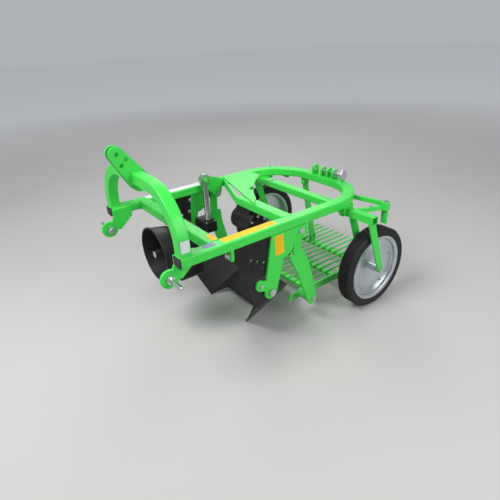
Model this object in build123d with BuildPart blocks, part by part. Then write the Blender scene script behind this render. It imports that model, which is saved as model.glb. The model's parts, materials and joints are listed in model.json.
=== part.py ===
"""Single-row vibrating potato digger for a tractor's three-point hitch.

Millimetres. +X points forward to the tractor, +Y to the left, +Z up. The origin is on the ground,
under the middle of the machine.
"""
import os
from math import atan2, cos, degrees, hypot, radians, sin, tan

from build123d import *

# Main frame: a rectangular tube bent to a U that is open to the front
tube_width = 60.0
tube_height = 45.0
tube_wall = 4.0
tube_corner = 5.0
frame_half_width = 400.0
frame_front_x = 695.0
frame_rear_x = -507.0
frame_top_z = 638.0
bend_radius = 270.0

# Crossbars
front_bar_x = 507.0
middle_bar_x = 93.0
rear_bar_x = -290.0
rear_bar_width = 50.0
rear_bar_height = 40.0

# Headstock and hitch, category 1
arch_tube = 52.0
arch_corner = 8.0
arch_x = 668.0
arch_apex_z = 880.0
arch_bend_radius = 215.0
top_link_x = 742.0
top_link_z = 993.0
top_link_hole = 19.5
top_plate_gap = 26.0
top_plate_thick = 10.0
top_plate_radius = 33.0
hitch_pin_x = 725.0
hitch_pin_z = 533.0
hitch_pin_diameter = 22.0
hitch_pin_reach = 90.0
hitch_plate_thick = 15.0
hitch_lobe_radius = 42.0
fit_gap = 0.05

# Drive
pto_z = 484.0
guard_front_x = 641.0
guard_radius = 137.0
guard_length = 100.0
guard_wall = 4.0
shaft_diameter = 34.9
shaft_root_diameter = 28.9
spline_count = 6
spline_width = 8.6
gearbox_width = 150.0
gearbox_length = 120.0
gearbox_drop = 165.0
gearbox_rise = 75.0

# Side legs and share
leg_thick = 12.0
leg_width = 72.0
leg_foot_x = 245.0
leg_foot_z = 300.0
leg_lobe_x = 305.0
leg_lobe_z = 355.0
leg_lobe_radius = 27.0
share_thick = 9.0
share_angle = 22.0
share_tip_x = 248.0
share_half_width = 185.0
share_length = 330.0
share_recess_x = 156.0
wing_rise = 245.0
wing_corner_x = 362.0
wing_corner_z = 360.0

# Sieve and its hangers
rod_diameter = 12.0
rod_margin = 26.0
rod_count = 13
rod_side_count = 8
rod_z = 130.0
rod_front_x = -86.0
rod_rear_x = -775.0
rail_thick = 8.0
rail_height = 40.0
rail_inset = 92.0
front_pivot_x = 54.0
front_pivot_z = 569.0
sieve_pin_x = -30.0
sieve_pin_z = 143.0
hanger_top_width = 95.0
hanger_top_x = 60.5
hanger_top_z = 444.0
hanger_foot_radius = 30.0
hanger_thick = 10.0
hanger_pin_diameter = 20.0
rear_pivot_x = -478.0
rear_pivot_z = 560.0
rear_pin_z = 165.0
rear_hanger_y = -130.0
rear_hanger_width = 40.0
rear_pin_diameter = 16.0
turn_gap = 0.1
swing_gap = 0.5
side_gap = 0.5

# Drive rod from the eccentric box up to the bell crank on the right front hanger
rod_link_x = 155.0
rod_link_inset = 45.0
rod_link_z = 680.0
rod_link_diameter = 34.0
rod_end_radius = 33.0
rod_end_width = 28.0
rod_pin_diameter = 20.0

# Depth wheels
wheel_x = -416.0
wheel_offset = 71.0
wheel_radius = 231.0
tyre_width = 84.0
tyre_depth = 59.0
flange_height = 15.0
rim_wall = 4.0
hub_radius = 21.0
axle_diameter = 20.0
rib_count = 3
rib_depth = 5.0
fork_tube = 40.0
fork_tube_wall = 3.0
fork_tube_x = -310.0
fork_tube_z = 555.0
fork_reach = 148.0
fork_inset = 25.0
bracket_width = 70.0
bracket_depth = 36.0
arm_thick = 9.0
arm_width = 46.0
arm_tip_radius = 19.0
arm_inner_offset = 2.0
arm_outer_offset = 126.0

# Values worked out from the driving dimensions
beam_y = frame_half_width - tube_width / 2
beam_inner_y = frame_half_width - tube_width
frame_bottom_z = frame_top_z - tube_height
frame_mid_z = frame_top_z - tube_height / 2
rear_tube_x = frame_rear_x + tube_width / 2
leg_inner_y = frame_half_width - leg_thick
rail_y = frame_half_width - rail_inset
rod_pitch = 2 * (rail_y - rod_margin) / (rod_count - 1)
rod_link_y = rod_link_inset - beam_inner_y
wheel_y = frame_half_width + wheel_offset
fork_outer_y = frame_half_width + fork_reach
fork_inner_y = frame_half_width - fork_inset
arm_inner_y = frame_half_width + arm_inner_offset
arm_outer_y = frame_half_width + arm_outer_offset
rim_radius = wheel_radius - tyre_depth
flange_radius = rim_radius + flange_height
hanger_swing_x = sieve_pin_x - front_pivot_x
hanger_swing_z = sieve_pin_z - front_pivot_z
rear_pin_x = rear_pivot_x + hanger_swing_x * (rear_pin_z - rear_pivot_z) / hanger_swing_z

os.makedirs("parts", exist_ok=True)


def write(builder, name):
    """Label a finished piece and write its STEP file."""
    builder.part.label = name
    export_step(builder.part, f"parts/{name}.step")


def mirrored(left):
    """The right-hand twin of a left-hand piece."""
    with BuildPart() as right:
        mirror(left.part, about=Plane.XZ)
    return right


def side_plane(y):
    """Upright plane along the machine at y; a positive extrusion runs to the right."""
    return Plane.XZ.offset(-y)


# Main frame: hollow tube swept round the U
with BuildPart() as main_frame:
    with BuildLine(Plane.XY.offset(frame_mid_z)) as frame_path:
        FilletPolyline(
            (frame_front_x, beam_y),
            (rear_tube_x, beam_y),
            (rear_tube_x, -beam_y),
            (frame_front_x, -beam_y),
            radius=bend_radius,
        )
    frame_start = Plane((frame_front_x, beam_y, frame_mid_z), (0, 1, 0), (-1, 0, 0))
    with BuildSketch(frame_start) as frame_section:
        Rectangle(tube_width, tube_height)
        chamfer(frame_section.vertices(), tube_corner)
        Rectangle(tube_width - 2 * tube_wall, tube_height - 2 * tube_wall, mode=Mode.SUBTRACT)
    sweep(path=frame_path.line)
write(main_frame, "main_frame")

# Plastic caps pressed into the frame's front ends
cap_lip = 5.0
cap_plug = 16.0
with BuildPart() as end_caps:
    for y in (beam_y, -beam_y):
        with BuildSketch(Plane.YZ.offset(frame_front_x)) as cap_section:
            with Locations((y, frame_mid_z)):
                Rectangle(tube_width, tube_height)
            chamfer(cap_section.vertices(), tube_corner)
        extrude(amount=cap_lip)
        with BuildSketch(Plane.YZ.offset(frame_front_x)):
            with Locations((y, frame_mid_z)):
                Rectangle(
                    tube_width - 2 * tube_wall - 2 * fit_gap, tube_height - 2 * tube_wall - 2 * fit_gap
                )
        extrude(amount=-cap_plug)
write(end_caps, "end_caps")

# Front crossbar between the beams and a shorter middle one that ends at the gusset, both flush on top
middle_bar_end_y = -30.0
for name, bar_x, bar_end_y in (
    ("front_crossbar", front_bar_x, -beam_inner_y),
    ("middle_crossbar", middle_bar_x, middle_bar_end_y),
):
    with BuildPart() as crossbar:
        with BuildSketch(side_plane(beam_inner_y)):
            with Locations((bar_x, frame_mid_z)):
                Rectangle(tube_width, tube_height)
                Rectangle(tube_width - 2 * tube_wall, tube_height - 2 * tube_wall, mode=Mode.SUBTRACT)
        extrude(amount=beam_inner_y - bar_end_y)
    write(crossbar, name)

# Rear crossbar under the beams where the bends begin
with BuildPart() as rear_crossbar:
    with BuildSketch(side_plane(fork_inner_y - bracket_depth)):
        with Locations((rear_bar_x, frame_bottom_z - rear_bar_height / 2)):
            Rectangle(rear_bar_width, rear_bar_height)
            Rectangle(
                rear_bar_width - 2 * tube_wall, rear_bar_height - 2 * tube_wall, mode=Mode.SUBTRACT
            )
    extrude(amount=2 * (fork_inner_y - bracket_depth))
write(rear_crossbar, "rear_crossbar")

# Headstock arch: square tube bent to an inverted U on the beams' front ends
with BuildPart() as headstock_arch:
    with BuildLine(Plane.YZ.offset(arch_x)) as arch_path:
        FilletPolyline(
            (beam_y, frame_top_z),
            (beam_y, arch_apex_z),
            (-beam_y, arch_apex_z),
            (-beam_y, frame_top_z),
            radius=arch_bend_radius,
        )
    with BuildSketch(Plane((arch_x, beam_y, frame_top_z), (1, 0, 0), (0, 0, 1))) as arch_section:
        Rectangle(arch_tube, arch_tube)
        chamfer(arch_section.vertices(), arch_corner)
        Rectangle(arch_tube - 2 * tube_wall, arch_tube - 2 * tube_wall, mode=Mode.SUBTRACT)
    sweep(path=arch_path.line)
write(headstock_arch, "headstock_arch")

# Top-link bracket: two plates that straddle the pin and sit over the arch
bracket_foot_x = arch_x - 12.0
bracket_foot_z = arch_apex_z - 18.0
bracket_foot_radius = 46.0
spare_holes = ((top_link_x - 38, top_link_z - 25), (top_link_x - 14, top_link_z - 50))
plate_outer_y = top_plate_gap / 2 + top_plate_thick
with BuildPart() as top_link_bracket:
    with BuildSketch(side_plane(plate_outer_y)):
        with Locations((top_link_x, top_link_z)):
            Circle(top_plate_radius)
        with Locations((bracket_foot_x, bracket_foot_z)):
            Circle(bracket_foot_radius)
        make_hull()
        with Locations((top_link_x, top_link_z), *spare_holes):
            Circle(top_link_hole / 2, mode=Mode.SUBTRACT)
        with Locations((arch_x, arch_apex_z)):
            Rectangle(arch_tube, arch_tube, mode=Mode.SUBTRACT)
    extrude(amount=top_plate_thick)
    mirror(about=Plane.XZ)
write(top_link_bracket, "top_link_bracket")

# Lower hitch plates on the beams' inner faces, with a lobe round each pin
plate_rear_x = 596.0
plate_heel_x = 668.0
plate_heel_z = 518.0
with BuildPart() as hitch_plate_left:
    with BuildSketch(side_plane(beam_inner_y)):
        with BuildLine():
            Polyline(
                (plate_rear_x, frame_top_z - 6),
                (plate_rear_x, frame_bottom_z - 14),
                (plate_heel_x, plate_heel_z),
                (hitch_pin_x, hitch_pin_z),
                (frame_front_x, frame_bottom_z),
                (frame_front_x, frame_top_z - 6),
                close=True,
            )
        make_face()
        with Locations((hitch_pin_x, hitch_pin_z)):
            Circle(hitch_lobe_radius)
            Circle(hitch_pin_diameter / 2 + fit_gap, mode=Mode.SUBTRACT)
    extrude(amount=hitch_plate_thick)
write(hitch_plate_left, "hitch_plate_left")
write(mirrored(hitch_plate_left), "hitch_plate_right")

# Lower link pins: stepped pin with a collar outside and a nut inside the plate
collar_radius = 19.0
collar_length = 10.0
nut_across_flats = 34.0
nut_length = 20.0
pin_chamfer = 3.0
pin_plane = side_plane(beam_inner_y + collar_length + hitch_pin_reach)
with BuildPart() as hitch_pin_left:
    with BuildSketch(pin_plane):
        with Locations((hitch_pin_x, hitch_pin_z)):
            Circle(hitch_pin_diameter / 2)
    extrude(amount=hitch_pin_reach + collar_length + hitch_plate_thick + nut_length + 6)
    chamfer(hitch_pin_left.faces().sort_by(Axis.Y)[-1].edges(), pin_chamfer)
    with BuildSketch(side_plane(beam_inner_y + collar_length)):
        with Locations((hitch_pin_x, hitch_pin_z)):
            Circle(collar_radius)
    extrude(amount=collar_length)
    with BuildSketch(side_plane(beam_inner_y - hitch_plate_thick)):
        with Locations((hitch_pin_x, hitch_pin_z)):
            RegularPolygon(nut_across_flats / 2, 6, major_radius=False)
    extrude(amount=nut_length)
write(hitch_pin_left, "hitch_pin_left")
write(mirrored(hitch_pin_left), "hitch_pin_right")

# Gearbox under the front crossbar, with a top mounting pad and a front bearing boss
gearbox_front_x = guard_front_x - guard_length
gearbox_mid_x = gearbox_front_x - gearbox_length / 2
boss_radius = 52.0
gearbox_chamfer = 22.0
boss_depth = 14.0
pad_thick = 10.0
pad_length = 96.0
with BuildPart() as gearbox:
    with BuildSketch(Plane.YZ.offset(gearbox_front_x)) as gearbox_section:
        with Locations((0, pto_z + (gearbox_rise - gearbox_drop) / 2)):
            Rectangle(gearbox_width, gearbox_rise + gearbox_drop)
        chamfer(gearbox_section.vertices(), gearbox_chamfer)
    extrude(amount=-gearbox_length)
    with BuildSketch(Plane.YZ.offset(gearbox_front_x - gearbox_length - boss_depth)):
        with Locations((0, pto_z)):
            Circle(boss_radius)
    extrude(amount=boss_depth)
    with BuildSketch(Plane.XY.offset(frame_bottom_z)):
        with Locations((gearbox_mid_x - 8, 0)):
            Rectangle(pad_length, gearbox_width + 60)
    extrude(amount=-pad_thick)
    with BuildSketch(Plane.XY.offset(frame_bottom_z - pad_thick)):
        with Locations((gearbox_mid_x - 8, 0)):
            Rectangle(pad_length - 10, gearbox_width - 70)
    extrude(amount=pto_z + gearbox_rise - frame_bottom_z + pad_thick)
    with BuildSketch(Plane.YZ.offset(gearbox_front_x)):
        with Locations((0, pto_z)):
            Circle(shaft_diameter / 2 + fit_gap)
    extrude(amount=-gearbox_length / 2, mode=Mode.SUBTRACT)
write(gearbox, "gearbox")

# Input shaft with a splined end, turning in the gearbox
shaft_end_x = guard_front_x - 2
shaft_seat = gearbox_length / 2 - 5
spline_length = 76.0
with BuildPart() as pto_shaft:
    with BuildSketch(Plane.YZ.offset(gearbox_front_x - shaft_seat)):
        with Locations((0, pto_z)):
            Circle(shaft_diameter / 2)
    extrude(amount=shaft_seat + shaft_end_x - gearbox_front_x - spline_length)
    with BuildSketch(Plane.YZ.offset(shaft_end_x - spline_length)):
        with Locations((0, pto_z)):
            Circle(shaft_root_diameter / 2)
            with PolarLocations((shaft_root_diameter + shaft_diameter) / 4, spline_count):
                Rectangle((shaft_diameter - shaft_root_diameter) / 2 + 1.5, spline_width)
    extrude(amount=spline_length)
write(pto_shaft, "pto_shaft")

# Bell-shaped guard round the input shaft
guard_back_radius = 118.0
guard_lip = 8.0
guard_bolt_ring = 62.0
with BuildPart() as pto_guard:
    with BuildSketch(Plane.XZ):
        with BuildLine():
            Polyline(
                (gearbox_front_x, pto_z + boss_radius),
                (gearbox_front_x, pto_z + guard_back_radius),
                (guard_front_x - guard_lip, pto_z + guard_radius - guard_lip / 2),
                (guard_front_x - guard_lip, pto_z + guard_radius),
                (guard_front_x, pto_z + guard_radius),
                (guard_front_x, pto_z + guard_radius - guard_wall - guard_lip / 2),
                (gearbox_front_x + guard_wall, pto_z + guard_back_radius - guard_wall),
                (gearbox_front_x + guard_wall, pto_z + boss_radius),
                close=True,
            )
        make_face()
    revolve(axis=Axis((0, 0, pto_z), (1, 0, 0)))
write(pto_guard, "pto_guard")

# Side legs: plates welded under the beams, flush with their outer faces
leg_top_front_x = 236.0
leg_top_rear_x = 14.0
leg_ear_radius = 42.0
leg_arc_radius = 66.0
leg_arc_drop = 110.0
leg_rear_x = 164.0
leg_arc_start = (leg_rear_x, front_pivot_z - leg_arc_drop)
leg_arc_end = (leg_rear_x - leg_arc_radius, front_pivot_z - leg_ear_radius)
with BuildPart() as side_leg_left:
    with BuildSketch(side_plane(frame_half_width)):
        with BuildLine():
            Line((leg_top_front_x, frame_bottom_z), (leg_foot_x + leg_width / 2, leg_foot_z + 8))
            Line((leg_foot_x + leg_width / 2, leg_foot_z + 8), (leg_foot_x - leg_width / 2, leg_foot_z - 8))
            Line((leg_foot_x - leg_width / 2, leg_foot_z - 8), leg_arc_start)
            RadiusArc(leg_arc_start, leg_arc_end, leg_arc_radius)
            Line(leg_arc_end, (front_pivot_x, front_pivot_z - leg_ear_radius))
            Line((front_pivot_x, front_pivot_z - leg_ear_radius), (leg_top_rear_x, frame_bottom_z))
            Line((leg_top_rear_x, frame_bottom_z), (leg_top_front_x, frame_bottom_z))
        make_face()
        with Locations((leg_foot_x, leg_foot_z)):
            Circle(leg_width / 2)
        with Locations((leg_lobe_x, leg_lobe_z)):
            Circle(leg_lobe_radius)
        with Locations((leg_lobe_x - 22, leg_lobe_z - 8)):
            Circle(leg_lobe_radius)
    extrude(amount=leg_thick)
    with BuildSketch(side_plane(frame_half_width)):
        with Locations((front_pivot_x, front_pivot_z)):
            Circle(leg_ear_radius)
    extrude(amount=leg_thick)
    with BuildSketch(side_plane(frame_half_width)):
        with Locations((front_pivot_x, frame_bottom_z + leg_ear_radius)):
            Rectangle(4 * leg_ear_radius, 2 * leg_ear_radius)
    extrude(amount=leg_thick, mode=Mode.SUBTRACT)
    with BuildSketch(side_plane(frame_half_width)):
        with Locations((front_pivot_x, front_pivot_z)):
            Circle(hanger_pin_diameter / 2 + fit_gap)
    extrude(amount=leg_thick, mode=Mode.SUBTRACT)
write(side_leg_left, "side_leg_left")
write(mirrored(side_leg_left), "side_leg_right")

# Share: trough of plate, floor and flared wings with upright tabs on the legs
floor_direction = (-cos(radians(share_angle)), 0, sin(radians(share_angle)))
wing_run = leg_inner_y - share_half_width
wing_angle = atan2(wing_rise, wing_run)
fold_shift = share_thick * tan(wing_angle / 2)
tab_shift = share_thick * tan((radians(90) - wing_angle) / 2)
tab_height = 160.0
tab_rise = wing_rise + tab_height
floor_rear_z = 118.0
with BuildPart() as share:
    with BuildSketch(Plane((share_tip_x, 0, 0), (0, -1, 0), floor_direction)):
        with BuildLine():
            Polyline(
                (0, 0),
                (share_half_width, 0),
                (leg_inner_y, wing_rise),
                (leg_inner_y, tab_rise),
                (leg_inner_y - share_thick, tab_rise),
                (leg_inner_y - share_thick, wing_rise + tab_shift),
                (share_half_width - fold_shift, share_thick),
                (0, share_thick),
                close=True,
            )
        make_face()
        mirror(about=Plane.YZ)
    extrude(amount=share_length)
    with BuildSketch(side_plane(frame_half_width)):
        with BuildLine():
            Polyline(
                (share_tip_x, 0),
                (wing_corner_x, wing_corner_z),
                (leg_lobe_x + 12, leg_lobe_z + 30),
                (leg_foot_x - 45, leg_lobe_z + 22),
                (leg_foot_x - 75, leg_foot_z - 10),
                (share_tip_x - share_length * cos(radians(share_angle)), floor_rear_z),
                (share_tip_x - share_length, 0),
                close=True,
            )
        make_face()
    extrude(amount=2 * frame_half_width, mode=Mode.INTERSECT)
    with BuildSketch(Plane.XY):
        with BuildLine():
            Polyline(
                (share_tip_x + 60, share_half_width - 4),
                (share_tip_x - 14, share_half_width - 12),
                (share_recess_x, share_half_width - 52),
                (share_recess_x, 52 - share_half_width),
                (share_tip_x - 14, 12 - share_half_width),
                (share_tip_x + 60, 4 - share_half_width),
                close=True,
            )
        make_face()
    extrude(amount=frame_bottom_z, mode=Mode.SUBTRACT)
write(share, "share")

# Foot bolts that clamp the share's tabs to the legs
bolt_head_radius = 15.0
bolt_head_length = 12.0
with BuildPart() as foot_bolts:
    for side in (1, -1):
        for bolt_x, bolt_z, scale_of_head in (
            (leg_foot_x, leg_foot_z, 1.3),
            (leg_lobe_x, leg_lobe_z, 0.7),
        ):
            with BuildSketch(Plane.XZ.offset(-side * frame_half_width)):
                with Locations((bolt_x, bolt_z)):
                    RegularPolygon(bolt_head_radius * scale_of_head, 6)
            extrude(amount=-side * bolt_head_length * scale_of_head)
write(foot_bolts, "foot_bolts")

# Side shields: thin plates between the legs and a small bracket under each beam
shield_thick = 4.0
shield_bottom_z = 400.0
shield_front_x = 436.0
shield_nose_z = 517.0
shield_hole = 13.0
shield_holes = ((276.0, 468.0), (312.0, 486.0), (348.0, 504.0), (286.0, 440.0), (322.0, 458.0), (358.0, 476.0))
with BuildPart() as side_shields:
    with BuildSketch(side_plane(leg_inner_y)):
        with BuildLine():
            Polyline(
                (leg_top_front_x - 30, frame_bottom_z),
                (shield_front_x, frame_bottom_z),
                (shield_front_x, shield_nose_z),
                (shield_front_x - 48, shield_bottom_z + 38),
                (leg_lobe_x, shield_bottom_z),
                (leg_foot_x - 22, shield_bottom_z),
                close=True,
            )
        make_face()
        with Locations(*shield_holes):
            RegularPolygon(shield_hole / 2, 8, mode=Mode.SUBTRACT)
    extrude(amount=shield_thick)
    mirror(about=Plane.XZ)
write(side_shields, "side_shields")

shield_bracket_thick = 16.0
shield_bracket_drop = 58.0
with BuildPart() as shield_brackets:
    with BuildSketch(Plane.XY.offset(frame_bottom_z)):
        with Locations((shield_front_x + shield_bracket_thick / 2, (leg_inner_y + beam_inner_y) / 2)):
            Rectangle(shield_bracket_thick, leg_inner_y - beam_inner_y)
    extrude(amount=-shield_bracket_drop)
    mirror(about=Plane.XZ)
write(shield_brackets, "shield_brackets")

# Gusset: top plate with a hollow rear edge and an upright web, from the middle crossbar to the right beam
gusset_thick = 8.0
gusset_front_y = 130.0
gusset_rear_x = -200.0
gusset_corner_x = -15.0
gusset_hollow = 780.0
gusset_rear_y = -232.0
gusset_slot = (-18.0, -75.0)
web_thick = 12.0
bar_front_x = middle_bar_x + tube_width / 2
bar_rear_x = middle_bar_x - tube_width / 2
with BuildPart() as gusset_plate:
    with BuildSketch(Plane.XY.offset(frame_top_z)):
        with BuildLine():
            Line((bar_front_x, gusset_front_y), (gusset_corner_x, -beam_y))
            Line((gusset_corner_x, -beam_y), (gusset_rear_x, -beam_y))
            Line((gusset_rear_x, -beam_y), (gusset_rear_x, gusset_rear_y))
            RadiusArc((gusset_rear_x, gusset_rear_y), (bar_rear_x, gusset_front_y / 2), -gusset_hollow)
            Line((bar_rear_x, gusset_front_y / 2), (bar_front_x, gusset_front_y))
        make_face()
        with Locations(Location((*gusset_slot, 0), (0, 0, 1), 35)):
            SlotOverall(58, 22, mode=Mode.SUBTRACT)
    extrude(amount=gusset_thick)
    with BuildSketch(Plane.XY.offset(frame_top_z)):
        with BuildLine():
            Polyline(
                (bar_front_x, middle_bar_end_y),
                (gusset_corner_x + web_thick, -beam_inner_y),
                (gusset_corner_x, -beam_inner_y),
                (bar_front_x - web_thick, middle_bar_end_y),
                close=True,
            )
        make_face()
    extrude(amount=-tube_height)
write(gusset_plate, "gusset_plate")

# Eccentric drum under the middle crossbar, on a saddle plate
drum_radius = 62.0
drum_length = 170.0
drum_y = 30.0
drum_saddle = 40.0
drum_saddle_inset = 25.0
drum_cap_depth = 14.0
drum_z = frame_bottom_z - drum_radius - 16
drum_cap_radius = 58.0
with BuildPart() as drive_drum:
    with BuildSketch(side_plane(drum_y + drum_length / 2)):
        with Locations((middle_bar_x, drum_z)):
            Circle(drum_radius)
    extrude(amount=drum_length)
    chamfer(drive_drum.edges().filter_by(GeomType.CIRCLE), 6)
    with BuildSketch(side_plane(drum_y + drum_length / 2 + drum_cap_depth)):
        with Locations((middle_bar_x, drum_z)):
            Circle(drum_cap_radius * 0.6)
    extrude(amount=drum_cap_depth)
    with BuildSketch(Plane.XY.offset(frame_bottom_z)):
        with Locations((middle_bar_x, drum_y)):
            Rectangle(tube_width + 10, drum_length - 2 * drum_saddle_inset)
    extrude(amount=-drum_saddle)
write(drive_drum, "drive_drum")

# Lugs on the rear tube with a hitch pin through them
lug_thick = 12.0
lug_radius = 25.0
lug_hole = 18.0
lug_rise = 31.0
lug_axis_z = frame_top_z + lug_rise
lug_places = (-40.0, 28.0, 72.0, 114.0)
lug_pin_radius = lug_hole / 2 - fit_gap
with BuildPart() as rear_lugs:
    for lug_y in lug_places:
        with BuildSketch(side_plane(lug_y + lug_thick / 2)):
            with Locations((rear_tube_x, lug_axis_z)):
                Circle(lug_radius)
            with Locations((rear_tube_x, (lug_axis_z + frame_top_z) / 2)):
                Rectangle(2 * lug_radius, lug_axis_z - frame_top_z)
            with Locations((rear_tube_x, lug_axis_z)):
                Circle(lug_hole / 2, mode=Mode.SUBTRACT)
        extrude(amount=lug_thick)
write(rear_lugs, "rear_lugs")

lug_pin_head = 30.0
lug_pin_reach = 58.0
with BuildPart() as lug_pin:
    with BuildSketch(side_plane(lug_places[-1] + lug_pin_reach)):
        with Locations((rear_tube_x, lug_axis_z)):
            Circle(lug_pin_radius)
    extrude(amount=lug_places[-1] + lug_pin_reach - lug_places[1] + 20)
    with BuildSketch(side_plane(lug_places[-1] + lug_pin_reach + 12)):
        with Locations((rear_tube_x, lug_axis_z)):
            Circle(lug_pin_head)
    extrude(amount=12)
    chamfer(lug_pin.faces().sort_by(Axis.Y)[-1].edges(), 3)
write(lug_pin, "lug_pin")

# Hanger pins on the frame: front pins in the leg ears, rear pins in ears under the rear tube
pin_head = 16.0
pin_head_length = 9.0
hanger_inner_y = leg_inner_y - 6 - hanger_thick
crank_tube_radius = 18.0
crank_plate_y = beam_inner_y - 10
with BuildPart() as front_pins:
    for side, inner_y in ((1, hanger_inner_y), (-1, crank_plate_y - hanger_thick)):
        with BuildSketch(Plane.XZ.offset(-side * (inner_y - side_gap - pin_head_length))):
            with Locations((front_pivot_x, front_pivot_z)):
                Circle(hanger_pin_diameter / 2)
        extrude(amount=-side * (frame_half_width + pin_head_length - inner_y + side_gap + pin_head_length))
        with BuildSketch(Plane.XZ.offset(-side * frame_half_width)):
            with Locations((front_pivot_x, front_pivot_z)):
                RegularPolygon(pin_head, 6)
        extrude(amount=-side * pin_head_length)
        with BuildSketch(Plane.XZ.offset(-side * (inner_y - side_gap))):
            with Locations((front_pivot_x, front_pivot_z)):
                RegularPolygon(pin_head, 6)
        extrude(amount=side * pin_head_length)
        with BuildSketch(Plane.XZ.offset(-side * leg_inner_y)):
            with Locations((front_pivot_x, front_pivot_z)):
                RegularPolygon(pin_head, 6)
        extrude(amount=side * (6 - side_gap))
write(front_pins, "front_pins")

ear_thick = 8.0
ear_gap = hanger_thick + 2 * side_gap
with BuildPart() as rear_hanger_ears:
    for ear_y in (rear_hanger_y + ear_gap / 2 + ear_thick, rear_hanger_y - ear_gap / 2):
        with BuildSketch(side_plane(ear_y)):
            with Locations((rear_pivot_x, rear_pivot_z)):
                Circle(rear_hanger_width / 2)
            with Locations((rear_pivot_x, (rear_pivot_z + frame_bottom_z) / 2)):
                Rectangle(rear_hanger_width, frame_bottom_z - rear_pivot_z)
        extrude(amount=ear_thick)
    with BuildSketch(side_plane(rear_hanger_y + ear_gap / 2 + ear_thick)):
        with Locations((rear_pivot_x, rear_pivot_z)):
            Circle(rear_pin_diameter / 2)
    extrude(amount=ear_gap + 2 * ear_thick)
write(rear_hanger_ears, "rear_hanger_ears")

# Front hangers: broad plates, folded outward below the legs, with a strip up to the pivot
step_top_z = 440.0
step_bottom_z = 348.0
hanger_outer_y = frame_half_width + 6
hanger_hole = hanger_pin_diameter / 2
hanger_strip_radius = 24.0
hanger_corner = 12.0
with BuildPart() as front_hanger_left:
    with BuildSketch(side_plane(hanger_outer_y)):
        with Locations((front_pivot_x, front_pivot_z), (hanger_top_x, hanger_top_z - hanger_strip_radius)):
            Circle(hanger_strip_radius)
        make_hull()
    extrude(amount=hanger_outer_y - hanger_inner_y)
    with BuildSketch(side_plane(hanger_outer_y)):
        with Locations(
            (hanger_top_x + hanger_top_width / 2 - hanger_corner, hanger_top_z - 6 - hanger_corner),
            (hanger_top_x - hanger_top_width / 2 + hanger_corner, hanger_top_z - hanger_corner),
        ):
            Circle(hanger_corner)
        with Locations((sieve_pin_x, sieve_pin_z)):
            Circle(hanger_foot_radius)
        make_hull()
    extrude(amount=hanger_outer_y - hanger_inner_y)
    with BuildSketch(Plane.YZ.offset(sieve_pin_x - hanger_top_width)):
        with BuildLine():
            Polyline(
                (hanger_inner_y, front_pivot_z + hanger_top_width),
                (hanger_inner_y + hanger_thick, front_pivot_z + hanger_top_width),
                (hanger_inner_y + hanger_thick, step_top_z),
                (hanger_outer_y, step_bottom_z),
                (hanger_outer_y, sieve_pin_z - hanger_top_width),
                (hanger_outer_y - hanger_thick, sieve_pin_z - hanger_top_width),
                (hanger_outer_y - hanger_thick, step_bottom_z - 2),
                (hanger_inner_y, step_top_z - 2),
                close=True,
            )
        make_face()
    extrude(amount=front_pivot_x - sieve_pin_x + 2 * hanger_top_width, mode=Mode.INTERSECT)
    with BuildSketch(side_plane(hanger_outer_y)):
        with Locations((front_pivot_x, front_pivot_z)):
            Circle(hanger_hole + turn_gap)
        with Locations((sieve_pin_x, sieve_pin_z)):
            Circle(hanger_hole + swing_gap)
    extrude(amount=hanger_outer_y - hanger_inner_y, mode=Mode.SUBTRACT)
write(front_hanger_left, "front_hanger_left")

# The right front hanger is a bell crank: a sleeve carries a three-cornered lever up to the drive rod's pin
lever_radius = 24.0
lever_heel = (30.0, 640.0)
lever_heel_radius = 15.0
rod_pin_length = rod_end_width / 2 + 14
with BuildPart() as front_hanger_right:
    mirror(front_hanger_left.part, about=Plane.XZ)
    with BuildSketch(side_plane(-crank_plate_y + hanger_thick)):
        with Locations((front_pivot_x, front_pivot_z), (rod_link_x, rod_link_z)):
            Circle(lever_radius)
        with Locations(lever_heel):
            Circle(lever_heel_radius)
        make_hull()
    extrude(amount=hanger_thick)
    with BuildSketch(side_plane(-crank_plate_y)):
        with Locations((front_pivot_x, front_pivot_z)):
            Circle(crank_tube_radius)
    extrude(amount=hanger_inner_y - crank_plate_y)
    with BuildSketch(side_plane(-crank_plate_y + hanger_thick)):
        with Locations((front_pivot_x, front_pivot_z)):
            Circle(hanger_hole + turn_gap)
    extrude(amount=hanger_inner_y - crank_plate_y + 2 * hanger_thick, mode=Mode.SUBTRACT)
    with BuildSketch(side_plane(-crank_plate_y + hanger_thick)):
        with Locations((rod_link_x, rod_link_z)):
            Circle(rod_pin_diameter / 2)
    extrude(amount=-(crank_plate_y - hanger_thick + rod_link_y + rod_pin_length))
write(front_hanger_right, "front_hanger_right")

# Rear hanger: flat bar between the rear tube and the sieve's rear cross bar
with BuildPart() as rear_hanger:
    with BuildSketch(side_plane(rear_hanger_y + hanger_thick / 2)):
        with Locations((rear_pivot_x, rear_pivot_z), (rear_pin_x, rear_pin_z)):
            Circle(rear_hanger_width / 2)
        make_hull()
        with Locations((rear_pivot_x, rear_pivot_z)):
            Circle(rear_pin_diameter / 2 + turn_gap, mode=Mode.SUBTRACT)
        with Locations((rear_pin_x, rear_pin_z)):
            Circle(rear_pin_diameter / 2 + swing_gap, mode=Mode.SUBTRACT)
    extrude(amount=hanger_thick)
write(rear_hanger, "rear_hanger")

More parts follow.
